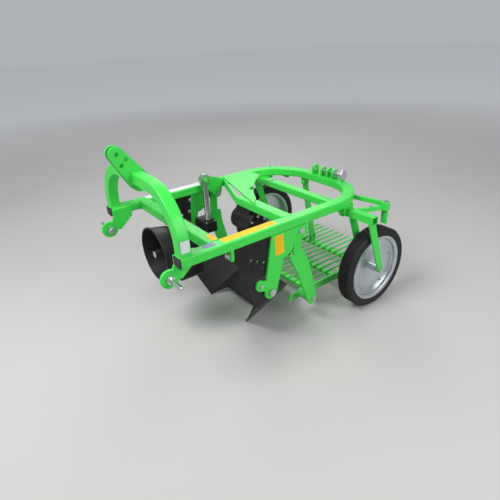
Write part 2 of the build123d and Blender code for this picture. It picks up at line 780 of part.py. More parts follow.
# Sieve: long rods on cross bars between two side rails, with stub tubes out to the front hangers
cross_bar_height = 24.0
cross_bar_width = 36.0
cross_bar_top_z = rod_z - rod_diameter / 2 + 2
rail_front_x = 34.0
rail_rear_x = rear_pin_x - 40
cross_bars = (rod_front_x - cross_bar_width / 2 - 8, -330.0, rear_pin_x)
stub_radius = 24.0
rod_span = rod_pitch * (rod_count - 1)
with BuildPart() as sieve:
    for side in (1, -1):
        with BuildSketch(side_plane(side * rail_y + rail_thick / 2)):
            with Locations((rail_front_x, sieve_pin_z - 12), (rail_rear_x, rod_z)):
                Circle(rail_height / 2)
            make_hull()
        extrude(amount=rail_thick)
        with BuildSketch(Plane.XZ.offset(-side * rail_y)):
            with Locations((sieve_pin_x, sieve_pin_z)):
                Circle(stub_radius)
        extrude(amount=-side * (hanger_outer_y - hanger_thick - side_gap - rail_y))
        with BuildSketch(Plane.XZ.offset(-side * rail_y)):
            with Locations((sieve_pin_x, sieve_pin_z)):
                Circle(hanger_hole)
        extrude(amount=-side * (hanger_outer_y + side_gap + pin_head_length - rail_y))
        with BuildSketch(Plane.XZ.offset(-side * (hanger_outer_y + side_gap))):
            with Locations((sieve_pin_x, sieve_pin_z)):
                RegularPolygon(pin_head, 6)
        extrude(amount=-side * pin_head_length)
    with BuildSketch(side_plane(rail_y)):
        with Locations(*[(bar_x, cross_bar_top_z - cross_bar_height / 2) for bar_x in cross_bars]):
            Rectangle(cross_bar_width, cross_bar_height)
    extrude(amount=2 * rail_y)
    with BuildSketch(Plane.YZ.offset(rod_rear_x)):
        with Locations((0, rod_z)):
            with GridLocations(rod_pitch, 1, rod_count, 1):
                RegularPolygon(rod_diameter / 2, rod_side_count, major_radius=False)
    extrude(amount=rod_front_x - rod_rear_x)
    for ear_y in (rear_hanger_y + ear_gap / 2 + ear_thick, rear_hanger_y - ear_gap / 2):
        with BuildSketch(side_plane(ear_y)):
            with Locations((rear_pin_x, rear_pin_z)):
                Circle(cross_bar_width / 2)
            with Locations((rear_pin_x, (rear_pin_z + cross_bar_top_z) / 2 - 2)):
                Rectangle(cross_bar_width, rear_pin_z - cross_bar_top_z + 4)
        extrude(amount=ear_thick)
    with BuildSketch(side_plane(rear_hanger_y + ear_gap / 2 + ear_thick)):
        with Locations((rear_pin_x, rear_pin_z)):
            Circle(rear_pin_diameter / 2)
    extrude(amount=ear_gap + 2 * ear_thick)
write(sieve, "sieve")

# Eccentric box on the right leg, and the steel rod that rises from it
box_top_z = 428.0
box_height = 62.0
box_front_x = leg_foot_x - 51
box_rear_x = rod_link_x - 40
gland_gap = 4.0
gland_depth = 45.0
rod_bottom_z = box_top_z - gland_depth + 12
box_inner_y = rod_link_y + 40
with BuildPart() as eccentric_box:
    with BuildSketch(Plane.XY.offset(box_top_z)):
        with Locations(((box_front_x + box_rear_x) / 2, (box_inner_y - leg_inner_y) / 2)):
            Rectangle(box_front_x - box_rear_x, box_inner_y + leg_inner_y)
    extrude(amount=-box_height)
    fillet(eccentric_box.edges().filter_by(Axis.Z), 10)
    with BuildSketch(Plane.XY.offset(box_top_z)):
        with Locations((rod_link_x, rod_link_y)):
            Circle(rod_link_diameter / 2 + gland_gap)
    extrude(amount=-gland_depth, mode=Mode.SUBTRACT)
write(eccentric_box, "eccentric_box")

with BuildPart() as drive_rod:
    with BuildSketch(Plane.XY.offset(rod_bottom_z)):
        with Locations((rod_link_x, rod_link_y)):
            Circle(rod_link_diameter / 2)
    extrude(amount=rod_link_z - rod_bottom_z)
    with BuildSketch(side_plane(rod_link_y + rod_end_width / 2)):
        with Locations((rod_link_x, rod_link_z)):
            Circle(rod_end_radius)
    extrude(amount=rod_end_width)
    with BuildSketch(side_plane(rod_link_y + rod_end_radius)):
        with Locations((rod_link_x, rod_link_z)):
            Circle(rod_pin_diameter / 2 + turn_gap)
    extrude(amount=2 * rod_end_radius, mode=Mode.SUBTRACT)
write(drive_rod, "drive_rod")

# Wheel forks: lateral tube with a bracket under the frame and two arms down to the axle
with BuildPart() as wheel_fork_left:
    with BuildSketch(side_plane(fork_outer_y)):
        with Locations((fork_tube_x, fork_tube_z)):
            Rectangle(fork_tube, fork_tube)
            Rectangle(fork_tube - 2 * fork_tube_wall, fork_tube - 2 * fork_tube_wall, mode=Mode.SUBTRACT)
    extrude(amount=fork_outer_y - fork_inner_y)
    with BuildSketch(side_plane(fork_inner_y)):
        with Locations((fork_tube_x, (fork_tube_z - fork_tube / 2 + frame_bottom_z) / 2)):
            Rectangle(bracket_width, frame_bottom_z - fork_tube_z + fork_tube / 2)
    extrude(amount=bracket_depth)
    for arm_y in (arm_inner_y + arm_thick, arm_outer_y + arm_thick):
        with BuildSketch(side_plane(arm_y)):
            with Locations((fork_tube_x, fork_tube_z - fork_tube / 2)):
                Circle(arm_width / 2)
            with Locations((wheel_x, wheel_radius)):
                Circle(arm_tip_radius)
            make_hull()
            with Locations((fork_tube_x, fork_tube_z)):
                Rectangle(fork_tube, fork_tube, mode=Mode.SUBTRACT)
            with Locations((wheel_x, wheel_radius)):
                Circle(axle_diameter / 2 + fit_gap, mode=Mode.SUBTRACT)
        extrude(amount=arm_thick)
write(wheel_fork_left, "wheel_fork_left")
write(mirrored(wheel_fork_left), "wheel_fork_right")

# Axle bolts through the fork arms
axle_head_radius = 16.0
axle_head_length = 10.0
spacer_radius = 16.0
wheel_side_gap = 1.0
hub_half_length = 46.0
with BuildPart() as wheel_axle_left:
    with BuildSketch(side_plane(arm_outer_y + arm_thick + axle_head_length)):
        with Locations((wheel_x, wheel_radius)):
            Circle(axle_diameter / 2)
    extrude(amount=arm_outer_y - arm_inner_y + arm_thick + 2 * axle_head_length)
    with BuildSketch(side_plane(arm_outer_y + arm_thick + axle_head_length)):
        with Locations((wheel_x, wheel_radius)):
            RegularPolygon(axle_head_radius, 6)
    extrude(amount=axle_head_length)
    with BuildSketch(side_plane(arm_inner_y)):
        with Locations((wheel_x, wheel_radius)):
            RegularPolygon(axle_head_radius, 6)
    extrude(amount=axle_head_length)
    with BuildSketch(side_plane(arm_outer_y)):
        with Locations((wheel_x, wheel_radius)):
            RegularPolygon(spacer_radius, 8)
    extrude(amount=arm_outer_y - wheel_y - hub_half_length - wheel_side_gap)
    with BuildSketch(side_plane(wheel_y - hub_half_length - wheel_side_gap)):
        with Locations((wheel_x, wheel_radius)):
            RegularPolygon(spacer_radius, 8)
    extrude(amount=wheel_y - hub_half_length - wheel_side_gap - arm_inner_y - arm_thick)
write(wheel_axle_left, "wheel_axle_left")
write(mirrored(wheel_axle_left), "wheel_axle_right")

# Wheel rims: dished disc with a rolled rim and a long hub
rim_half_width = tyre_width / 2 - 4
disc_y = 12.0
disc_radius = 120.0
with BuildPart() as wheel_rim_left:
    with BuildSketch(Plane.XY):
        with BuildLine():
            Polyline(
                (axle_diameter / 2 + fit_gap, -hub_half_length),
                (hub_radius, -hub_half_length),
                (hub_radius, -disc_y - rim_wall),
                (disc_radius, disc_y - rim_wall),
                (rim_radius - rim_wall, disc_y - rim_wall),
                (rim_radius - rim_wall, rim_wall - rim_half_width),
                (flange_radius, -rim_half_width),
                (flange_radius, rim_wall - rim_half_width),
                (rim_radius, 2 * rim_wall - rim_half_width),
                (rim_radius, rim_half_width - 2 * rim_wall),
                (flange_radius, rim_half_width - rim_wall),
                (flange_radius, rim_half_width),
                (rim_radius - rim_wall, rim_half_width - rim_wall),
                (rim_radius - rim_wall, disc_y),
                (disc_radius, disc_y),
                (hub_radius, -disc_y),
                (hub_radius, hub_half_length),
                (axle_diameter / 2 + fit_gap, hub_half_length),
                close=True,
            )
        make_face()
    revolve(axis=Axis.Y)
wheel_place = Location((wheel_x, wheel_y, wheel_radius))
wheel_rim_left.part = wheel_place * wheel_rim_left.part
write(wheel_rim_left, "wheel_rim_left")
write(mirrored(wheel_rim_left), "wheel_rim_right")

# Solid tyres between the rim flanges, with ribs round the tread
tread_half_width = tyre_width / 2
shoulder = 9.0
bead_step = 2.0
rib_width = 2 * (tread_half_width - shoulder) / (2 * rib_count - 1)
tread_points = []
for rib in range(rib_count):
    rib_start = shoulder - tread_half_width + 2 * rib * rib_width
    tread_points += [(wheel_radius, rib_start), (wheel_radius, rib_start + rib_width)]
    if rib < rib_count - 1:
        tread_points += [
            (wheel_radius - rib_depth, rib_start + rib_width),
            (wheel_radius - rib_depth, rib_start + 2 * rib_width),
        ]
with BuildPart() as tyre_left:
    with BuildSketch(Plane.XY):
        with BuildLine():
            Polyline(
                (rim_radius, 2 * rim_wall - rim_half_width),
                (flange_radius, rim_wall - rim_half_width),
                (flange_radius + bead_step, rim_wall - rim_half_width),
                (flange_radius + bead_step, -tread_half_width),
                (wheel_radius - shoulder, -tread_half_width),
                *tread_points,
                (wheel_radius - shoulder, tread_half_width),
                (flange_radius + bead_step, tread_half_width),
                (flange_radius + bead_step, rim_half_width - rim_wall),
                (flange_radius, rim_half_width - rim_wall),
                (rim_radius, rim_half_width - 2 * rim_wall),
                close=True,
            )
        make_face()
    revolve(axis=Axis.Y)
tyre_left.part = wheel_place * tyre_left.part
write(tyre_left, "tyre_left")
write(mirrored(tyre_left), "tyre_right")

# Wheel scrapers: two bars, from the rear bend and the fork's tube, meet in a boss with a post above the tyre
scraper_reach = 78.0
scraper_boss = (rear_tube_x - 3, frame_half_width + scraper_reach)
scraper_boss_radius = 24.0
scraper_bar = 20.0
scraper_depth = 22.0
post_width = 34.0
post_thick = 12.0
tyre_clearance = 12.0
bend_ahead = 37.0
bend_inset = 150.0
fork_rear_x = fork_tube_x - fork_tube / 2
scraper_bars = (
    (rear_tube_x + bend_ahead, frame_half_width - bend_inset, frame_bottom_z),
    (fork_rear_x - scraper_bar / 2 + 1, arm_inner_y + 14, fork_tube_z + fork_tube / 2),
)
with BuildPart() as scraper_left:
    for start_x, start_y, top_z in scraper_bars:
        run_x = scraper_boss[0] - start_x
        run_y = scraper_boss[1] - start_y
        bar_place = Location(
            ((start_x + scraper_boss[0]) / 2, (start_y + scraper_boss[1]) / 2, 0),
            (0, 0, 1),
            degrees(atan2(run_y, run_x)),
        )
        with BuildSketch(Plane.XY.offset(top_z)):
            with Locations(bar_place):
                Rectangle(hypot(run_x, run_y), scraper_bar)
        extrude(amount=-scraper_depth)
    with BuildSketch(Plane.XY.offset(frame_bottom_z)):
        with Locations(scraper_boss):
            Circle(scraper_boss_radius)
    extrude(amount=fork_tube_z + fork_tube / 2 - scraper_depth - frame_bottom_z)
    with BuildSketch(Plane.XY.offset(frame_bottom_z)):
        with Locations(scraper_boss):
            Rectangle(post_thick, post_width)
    extrude(amount=2 * wheel_radius + tyre_clearance - frame_bottom_z)
write(scraper_left, "scraper_left")
write(mirrored(scraper_left), "scraper_right")
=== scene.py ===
import json
import math
import bmesh
import bpy
from mathutils import Matrix, Vector


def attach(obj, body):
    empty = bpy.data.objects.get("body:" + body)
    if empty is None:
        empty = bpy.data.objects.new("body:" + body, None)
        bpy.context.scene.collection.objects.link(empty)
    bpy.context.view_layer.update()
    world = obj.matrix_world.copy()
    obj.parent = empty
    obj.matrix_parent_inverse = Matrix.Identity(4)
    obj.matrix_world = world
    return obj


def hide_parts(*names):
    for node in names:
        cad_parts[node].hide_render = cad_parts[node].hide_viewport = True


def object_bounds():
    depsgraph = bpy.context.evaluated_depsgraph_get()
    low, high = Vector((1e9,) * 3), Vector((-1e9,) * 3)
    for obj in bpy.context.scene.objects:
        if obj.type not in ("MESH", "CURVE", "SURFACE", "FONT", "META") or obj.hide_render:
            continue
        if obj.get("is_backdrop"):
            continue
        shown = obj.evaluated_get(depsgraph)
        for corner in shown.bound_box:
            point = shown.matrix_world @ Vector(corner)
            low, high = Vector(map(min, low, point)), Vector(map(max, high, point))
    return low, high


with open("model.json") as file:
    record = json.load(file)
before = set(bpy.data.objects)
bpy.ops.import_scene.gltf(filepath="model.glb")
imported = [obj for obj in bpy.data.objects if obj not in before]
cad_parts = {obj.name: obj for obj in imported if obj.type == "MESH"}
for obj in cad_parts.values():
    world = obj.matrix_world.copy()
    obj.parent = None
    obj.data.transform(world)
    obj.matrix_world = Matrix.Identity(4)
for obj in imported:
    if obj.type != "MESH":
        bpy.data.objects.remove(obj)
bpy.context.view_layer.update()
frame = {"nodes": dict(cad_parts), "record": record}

# Main frame. One length of rectangular steel tube is bent to a U that opens to the tractor, and three
# straight tubes are welded across it. The whole weldment is powder coated bright green.
beam_y = 0.370
beam_top = 0.638
beam_middle = 0.6155
frame_corners = ((0.695, beam_y), (-0.477, beam_y), (-0.477, -beam_y), (0.695, -beam_y))
frame_bend = 0.270
tube_outline = (0.060, 0.045, 0.007)
sharp_angle = 32.0
soft_edge = 60.0
green_deep = (0.031, 0.525, 0.053)
green_light = (0.043, 0.615, 0.069)


def shader_group(name, inputs, outputs):
    """Empty shader node group with named sockets, and its two end nodes."""
    group = bpy.data.node_groups.new(name, "ShaderNodeTree")
    for label, kind, value in inputs:
        group.interface.new_socket(label, in_out="INPUT", socket_type=kind).default_value = value
    for label, kind in outputs:
        group.interface.new_socket(label, in_out="OUTPUT", socket_type=kind)
    return group, group.nodes.new("NodeGroupInput"), group.nodes.new("NodeGroupOutput")


# Colour that drifts between two tones, with a roughness that follows it and a fine grain for relief
mottle, given, made = shader_group(
    "finish_mottle",
    (
        ("Deep", "NodeSocketColor", (0.1, 0.1, 0.1, 1)),
        ("Light", "NodeSocketColor", (0.2, 0.2, 0.2, 1)),
        ("Patch Scale", "NodeSocketFloat", 6.0),
        ("Grain Scale", "NodeSocketFloat", 220.0),
        ("Roughness", "NodeSocketFloat", 0.3),
        ("Spread", "NodeSocketFloat", 0.1),
    ),
    (("Color", "NodeSocketColor"), ("Roughness", "NodeSocketFloat"), ("Height", "NodeSocketFloat")),
)
place = mottle.nodes.new("ShaderNodeTexCoord")
patches = mottle.nodes.new("ShaderNodeTexNoise")
patches.inputs["Detail"].default_value = 5.0
grains = mottle.nodes.new("ShaderNodeTexNoise")
grains.inputs["Detail"].default_value = 2.0
tones = mottle.nodes.new("ShaderNodeMix")
tones.data_type = "RGBA"
gloss = mottle.nodes.new("ShaderNodeMath")
gloss.operation = "MULTIPLY_ADD"
for start, end in (
    (place.outputs["Object"], patches.inputs["Vector"]),
    (place.outputs["Object"], grains.inputs["Vector"]),
    (given.outputs["Patch Scale"], patches.inputs["Scale"]),
    (given.outputs["Grain Scale"], grains.inputs["Scale"]),
    (patches.outputs[0], tones.inputs[0]),
    (given.outputs["Deep"], tones.inputs[6]),
    (given.outputs["Light"], tones.inputs[7]),
    (patches.outputs[0], gloss.inputs[0]),
    (given.outputs["Spread"], gloss.inputs[1]),
    (given.outputs["Roughness"], gloss.inputs[2]),
    (tones.outputs[2], made.inputs["Color"]),
    (gloss.outputs[0], made.inputs["Roughness"]),
    (grains.outputs[0], made.inputs["Height"]),
):
    mottle.links.new(start, end)

# Field dust that thins out with height above the ground
dusting, given, made = shader_group(
    "field_dust",
    (
        ("Color", "NodeSocketColor", (0.5, 0.5, 0.5, 1)),
        ("Dust", "NodeSocketColor", (0.30, 0.25, 0.19, 1)),
        ("Top", "NodeSocketFloat", 0.35),
        ("Amount", "NodeSocketFloat", 0.1),
    ),
    (("Color", "NodeSocketColor"),),
)
place = dusting.nodes.new("ShaderNodeTexCoord")
parts = dusting.nodes.new("ShaderNodeSeparateXYZ")
height = dusting.nodes.new("ShaderNodeMapRange")
height.inputs["To Min"].default_value = 1.0
height.inputs["To Max"].default_value = 0.0
clouds = dusting.nodes.new("ShaderNodeTexNoise")
clouds.inputs["Scale"].default_value = 14.0
clouds.inputs["Detail"].default_value = 6.0
thick = dusting.nodes.new("ShaderNodeMath")
thick.operation = "MULTIPLY"
laid = dusting.nodes.new("ShaderNodeMath")
laid.operation = "MULTIPLY"
laid.use_clamp = True
cover = dusting.nodes.new("ShaderNodeMix")
cover.data_type = "RGBA"
for start, end in (
    (place.outputs["Object"], parts.inputs[0]),
    (place.outputs["Object"], clouds.inputs["Vector"]),
    (parts.outputs["Z"], height.inputs["Value"]),
    (given.outputs["Top"], height.inputs["From Max"]),
    (height.outputs[0], thick.inputs[0]),
    (clouds.outputs[0], thick.inputs[1]),
    (thick.outputs[0], laid.inputs[0]),
    (given.outputs["Amount"], laid.inputs[1]),
    (laid.outputs[0], cover.inputs[0]),
    (given.outputs["Color"], cover.inputs[6]),
    (given.outputs["Dust"], cover.inputs[7]),
    (cover.outputs[2], made.inputs["Color"]),
):
    dusting.links.new(start, end)

# Rubbed streaks where soil slides over a coat
scuffing, given, made = shader_group(
    "soil_scuffs",
    (
        ("Stretch", "NodeSocketVector", (6.0, 60.0, 30.0)),
        ("Low", "NodeSocketFloat", 0.52),
        ("High", "NodeSocketFloat", 0.70),
    ),
    (("Mask", "NodeSocketFloat"),),
)
place = scuffing.nodes.new("ShaderNodeTexCoord")
drawn = scuffing.nodes.new("ShaderNodeVectorMath")
drawn.operation = "MULTIPLY"
streaks = scuffing.nodes.new("ShaderNodeTexNoise")
streaks.inputs["Scale"].default_value = 1.0
streaks.inputs["Detail"].default_value = 7.0
cut = scuffing.nodes.new("ShaderNodeMapRange")
for start, end in (
    (place.outputs["Object"], drawn.inputs[0]),
    (given.outputs["Stretch"], drawn.inputs[1]),
    (drawn.outputs[0], streaks.inputs["Vector"]),
    (streaks.outputs[0], cut.inputs["Value"]),
    (given.outputs["Low"], cut.inputs["From Min"]),
    (given.outputs["High"], cut.inputs["From Max"]),
    (cut.outputs[0], made.inputs["Mask"]),
):
    scuffing.links.new(start, end)


def finish(name, deep, light, rough, spread=0.12, metal=0.0, coat=0.0, patch=6.0, grain=220.0, bump=0.12,
           dust=0.25, dust_top=0.40, scuff=None, bare=(0.42, 0.40, 0.37), shine=0.5):
    """Material of one finish: mottled tone, dust near the ground, grain relief and, if asked, scuffs."""
    material = bpy.data.materials.new(name)
    material.use_nodes = True
    nodes = material.node_tree.nodes
    links = material.node_tree.links
    shader = nodes["Principled BSDF"]
    shader.inputs["Metallic"].default_value = metal
    shader.inputs["Specular IOR Level"].default_value = shine
    shader.inputs["Coat Weight"].default_value = coat
    shader.inputs["Coat Roughness"].default_value = 0.12
    tone = nodes.new("ShaderNodeGroup")
    tone.node_tree = mottle
    for label, value in (("Deep", (*deep, 1)), ("Light", (*light, 1)), ("Patch Scale", patch),
                         ("Grain Scale", grain), ("Roughness", rough), ("Spread", spread)):
        tone.inputs[label].default_value = value
    soil = nodes.new("ShaderNodeGroup")
    soil.node_tree = dusting
    soil.inputs["Top"].default_value = dust_top
    soil.inputs["Amount"].default_value = dust
    relief = nodes.new("ShaderNodeBump")
    relief.inputs["Strength"].default_value = bump
    relief.inputs["Distance"].default_value = 0.0005
    colour = tone.outputs["Color"]
    if scuff:
        rubbed = nodes.new("ShaderNodeGroup")
        rubbed.node_tree = scuffing
        rubbed.inputs["Low"].default_value = scuff[0]
        rubbed.inputs["High"].default_value = scuff[1]
        worn = nodes.new("ShaderNodeMix")
        worn.data_type = "RGBA"
        worn.inputs[7].default_value = (*bare, 1)
        links.new(rubbed.outputs["Mask"], worn.inputs[0])
        links.new(colour, worn.inputs[6])
        links.new(rubbed.outputs["Mask"], shader.inputs["Metallic"])
        colour = worn.outputs[2]
    links.new(colour, soil.inputs["Color"])
    links.new(soil.outputs["Color"], shader.inputs["Base Color"])
    links.new(tone.outputs["Roughness"], shader.inputs["Roughness"])
    links.new(tone.outputs["Height"], relief.inputs["Height"])
    links.new(relief.outputs["Normal"], shader.inputs["Normal"])
    return material


green_paint = finish("green_powder_coat", green_deep, green_light, 0.34, spread=0.10, coat=0.05,
                     grain=420.0, bump=0.06, dust=0.18, shine=0.38)


def rounded_outline(width, height, radius, steps=4):
    """Closed outline of a tube section with rounded corners."""
    outline = []
    for side_u, side_v, start in ((1, 1, 0), (-1, 1, 90), (-1, -1, 180), (1, -1, 270)):
        for step in range(steps + 1):
            angle = math.radians(start + 90 * step / steps)
            outline.append((side_u * (width / 2 - radius) + radius * math.cos(angle),
                            side_v * (height / 2 - radius) + radius * math.sin(angle)))
    return outline


def bent_path(corners, radius=0.0, steps=18):
    """Points and directions along straight runs whose corners are bent to one radius."""
    corners = [Vector(corner) for corner in corners]
    path = [(corners[0], (corners[1] - corners[0]).normalized())]
    for before, corner, after in zip(corners, corners[1:], corners[2:]):
        into = (corner - before).normalized()
        out = (after - corner).normalized()
        turn = into.angle(out)
        start = corner - into * radius * math.tan(turn / 2)
        inward = (out - into * out.dot(into)).normalized()
        for step in range(steps + 1):
            angle = turn * step / steps
            point = start + inward * radius * (1 - math.cos(angle)) + into * radius * math.sin(angle)
            path.append((point, into * math.cos(angle) + inward * math.sin(angle)))
    path.append((corners[-1], (corners[-1] - corners[-2]).normalized()))
    return path


def add_tube(bm, path, outline, flat):
    """Skin of a tube along a path in the plane with normal flat, closed at both ends."""
    flat = Vector(flat)
    rings = []
    for point, along in path:
        across = flat.cross(along)
        rings.append([bm.verts.new(point + across * u + flat * v) for u, v in outline])
    count = len(outline)
    for ring, following in zip(rings, rings[1:]):
        for i in range(count):
            bm.faces.new((ring[i], ring[(i + 1) % count], following[(i + 1) % count], following[i]))
    bm.faces.new(rings[0])
    bm.faces.new(rings[-1])


def keep(name, mesh, body, material, stands_for=(), crease=sharp_angle):
    """Object at the origin from a finished mesh, riding on its body; broad faces set the shading."""
    mesh.materials.clear()
    mesh.materials.append(material)
    mesh.polygons.foreach_set("use_smooth", [True] * len(mesh.polygons))
    mesh.set_sharp_from_angle(angle=math.radians(crease))
    item = bpy.data.objects.new(name, mesh)
    bpy.context.scene.collection.objects.link(item)
    item.modifiers.new("broad_faces", "WEIGHTED_NORMAL").keep_sharp = True
    depsgraph = bpy.context.evaluated_depsgraph_get()
    item.data = bpy.data.meshes.new_from_object(item.evaluated_get(depsgraph), preserve_all_data_layers=True,
                                                depsgraph=depsgraph)
    item.modifiers.clear()
    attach(item, body)
    if stands_for:
        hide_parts(*stands_for)


def made_piece(name, bm, body, material, stands_for=(), crease=sharp_angle):
    """Finish a bmesh as a piece with its faces pointing outwards."""
    bmesh.ops.recalc_face_normals(bm, faces=bm.faces)
    mesh = bpy.data.meshes.new(name)
    bm.to_mesh(mesh)
    bm.free()
    keep(name, mesh, body, material, stands_for, crease)


bm = bmesh.new()
frame_path = bent_path([(x, y, beam_middle) for x, y in frame_corners], frame_bend, 28)
add_tube(bm, frame_path, rounded_outline(*tube_outline), (0, 0, 1))
made_piece("frame_tube", bm, "frame", green_paint, ("main_frame",), soft_edge)

for node, x, z, left_end, right_end, outline in (
    ("front_crossbar", 0.507, beam_middle, 0.342, -0.342, tube_outline),
    ("middle_crossbar", 0.093, beam_middle, 0.342, -0.030, tube_outline),
    ("rear_crossbar", -0.290, 0.573, 0.339, -0.339, (0.050, 0.040, 0.006)),
):
    bm = bmesh.new()
    add_tube(bm, bent_path(((x, left_end, z), (x, right_end, z))), rounded_outline(*outline), (0, 0, 1))
    made_piece(node + "_tube", bm, "frame", green_paint, (node,), soft_edge)

# Plates and blocks. They are cut from plate and only lose their sharp edges before they are coated, so
# each keeps its outline and gets a small rounded edge that catches the light.
node_body = {n: body for body, names in frame["record"]["behaviour"]["bodies"].items() for n in names}
plate_edge = 0.0014


def eased(node, material, width=plate_edge, crease=sharp_angle):
    """Copy of a plain node with its sharp edges rounded, in place of the node."""
    bm = bmesh.new()
    bm.from_mesh(frame["nodes"][node].data)
    bmesh.ops.remove_doubles(bm, verts=bm.verts, dist=2e-5)
    bmesh.ops.dissolve_limit(bm, angle_limit=math.radians(0.5), verts=bm.verts, edges=bm.edges)
    edges = [e for e in bm.edges if len(e.link_faces) == 2 and e.calc_face_angle(0) > math.radians(crease)]
    bmesh.ops.bevel(bm, geom=edges, offset=width, offset_type="OFFSET", segments=2, profile=0.5,
                    affect="EDGES", clamp_overlap=True)
    made_piece("eased_" + node, bm, node_body[node], material, (node,), soft_edge)


for node in (
    "top_link_bracket", "hitch_plate_left", "hitch_plate_right", "side_leg_left", "side_leg_right",
    "gusset_plate", "rear_lugs", "rear_hanger_ears", "front_hanger_left", "front_hanger_right",
    "rear_hanger", "shield_brackets", "wheel_fork_left", "wheel_fork_right", "scraper_left", "scraper_right",
):
    eased(node, green_paint)

# End caps. Square plugs moulded in black plastic close the beams' front ends.
# They are tapped in and hold by friction.
black_plastic = finish("moulded_black_plastic", (0.007, 0.007, 0.0075), (0.015, 0.015, 0.016), 0.38,
                       grain=900.0, bump=0.25, dust=0.08, dust_top=0.7, shine=0.25)
eased("end_caps", black_plastic, 0.002)

# Headstock arch. Square steel tube is bent to an upside-down U and welded on the beams' front ends.
# It has the same green coat as the frame.
arch_x = 0.668
arch_apex = 0.880
arch_bend = 0.215
arch_outline = (0.052, 0.052, 0.006)
arch_corners = ((beam_y, beam_top), (beam_y, arch_apex), (-beam_y, arch_apex), (-beam_y, beam_top))
bm = bmesh.new()
arch_path = bent_path([(arch_x, y, z) for y, z in arch_corners], arch_bend, 24)
add_tube(bm, arch_path, rounded_outline(*arch_outline), (1, 0, 0))
made_piece("arch_tube", bm, "frame", green_paint, ("headstock_arch",), soft_edge)

# Pins and bolts of the hitch, the hangers, the share's feet and the wheels. They are turned or forged steel
# with a bright zinc plate, pushed through their bores.
zinc_plate = finish("bright_zinc_plate", (0.52, 0.55, 0.57), (0.66, 0.68, 0.69), 0.22, spread=0.18,
                    metal=1.0, patch=60.0, grain=700.0, bump=0.12, dust=0.2)
for node in (
    "hitch_pin_left", "hitch_pin_right", "foot_bolts", "lug_pin", "front_pins", "wheel_axle_left",
    "wheel_axle_right",
):
    eased(node, zinc_plate, 0.0012)

# Gearbox, drum, eccentric box and side shields. The first three are iron castings that hold the drive; the
# shields are thin plates beside the legs. All are painted black.
black_paint = finish("black_machine_paint", (0.0045, 0.0045, 0.0048), (0.012, 0.012, 0.0125), 0.30,
                     spread=0.25, patch=18.0, grain=260.0, bump=0.30, dust=0.06, dust_top=0.7, shine=0.22)
for node in ("gearbox", "drive_drum", "eccentric_box"):
    eased(node, black_paint, 0.003)
eased("side_shields", black_paint, 0.0008)

# Input shaft and drive rod. Both are bright turned steel bar; the shaft has six splines at its end.
# The shaft turns in the gearbox, and the rod hangs on the right hanger's lever.
bright_steel = finish("turned_bright_steel", (0.44, 0.44, 0.43), (0.60, 0.60, 0.59), 0.20, spread=0.15,
                      metal=1.0, patch=40.0, grain=1200.0, bump=0.10, dust=0.1)
eased("pto_shaft", bright_steel, 0.0008)
eased("drive_rod", bright_steel, 0.0015)

# Shaft guard. A bell moulded in black plastic, with a thick rolled lip, stands round the input shaft.
# Its flat back lies against the gearbox.
guard_centre = (0.0, 0.0, 0.484)
guard_profile = (
    (0.052, 0.541), (0.112, 0.541), (0.1165, 0.5425), (0.1182, 0.546), (0.1325, 0.631), (0.1345, 0.6325),
    (0.1366, 0.6345), (0.1370, 0.638), (0.1358, 0.6405), (0.1335, 0.641), (0.1300, 0.640), (0.1290, 0.637),
    (0.1143, 0.549), (0.1125, 0.5456), (0.109, 0.545), (0.052, 0.545),
)


def add_lathe(bm, profile, centre, axis, steps=72):
    """Turned closed shape; profile rows are radius and distance along the axis from the centre."""
    axis = Vector(axis)
    first = Vector((0, 0, 1))
    second = axis.cross(first)
    rings = []
    for step in range(steps):
        angle = 2 * math.pi * step / steps
        out = first * math.cos(angle) + second * math.sin(angle)
        rings.append([bm.verts.new(Vector(centre) + out * r + axis * d) for r, d in profile])
    count = len(profile)
    for ring, following in zip(rings, rings[1:] + rings[:1]):
        for i in range(count):
            bm.faces.new((ring[i], ring[(i + 1) % count], following[(i + 1) % count], following[i]))


bm = bmesh.new()
add_lathe(bm, guard_profile, guard_centre, (1, 0, 0))
made_piece("guard_bell", bm, "frame", black_plastic, ("pto_guard",), 50)

# Share. Thick wear plate is folded to a trough, sharpened and bolted to the legs' feet.
# It is painted black, and soil rubs it bare.
share_coat = finish("worn_share_paint", (0.0035, 0.0035, 0.0035), (0.010, 0.0098, 0.0095), 0.30, spread=0.25,
                    patch=14.0, grain=320.0, bump=0.30, dust=0.05, dust_top=0.20, scuff=(0.66, 0.95),
                    bare=(0.09, 0.087, 0.084), shine=0.36)
eased("share", share_coat, 0.0015, 25)

# Sieve. Thirteen round steel rods are welded on cross bars between two rails; stub tubes and ears carry it.
# Its green coat is rubbed where the soil runs over it.
rod_count = 13
rod_pitch = 0.047
rod_radius = 0.006
rod_z = 0.130
rod_reach = (-0.086, -0.775)
rail_points = ((0.034, 0.131, 0.020), (-0.596, 0.130, 0.020))
rear_pin = (-0.5559, 0.165)


def geometry_tree(name, inputs):
    """Empty geometry node tree with named inputs, and its two end nodes."""
    tree = bpy.data.node_groups.new(name, "GeometryNodeTree")
    tree.interface.new_socket("Geometry", in_out="INPUT", socket_type="NodeSocketGeometry")
    for label, kind, value in inputs:
        tree.interface.new_socket(label, in_out="INPUT", socket_type=kind).default_value = value
    tree.interface.new_socket("Geometry", in_out="OUTPUT", socket_type="NodeSocketGeometry")
    return tree, tree.nodes.new("NodeGroupInput"), tree.nodes.new("NodeGroupOutput")


def close_tree(tree, shape, given_out, material):
    """End a tree in Realize Instances and Set Material."""
    real = tree.nodes.new("GeometryNodeRealizeInstances")
    coat = tree.nodes.new("GeometryNodeSetMaterial")
    coat.inputs["Material"].default_value = material
    tree.links.new(shape, real.inputs[0])
    tree.links.new(real.outputs[0], coat.inputs["Geometry"])
    tree.links.new(coat.outputs[0], given_out.inputs[0])


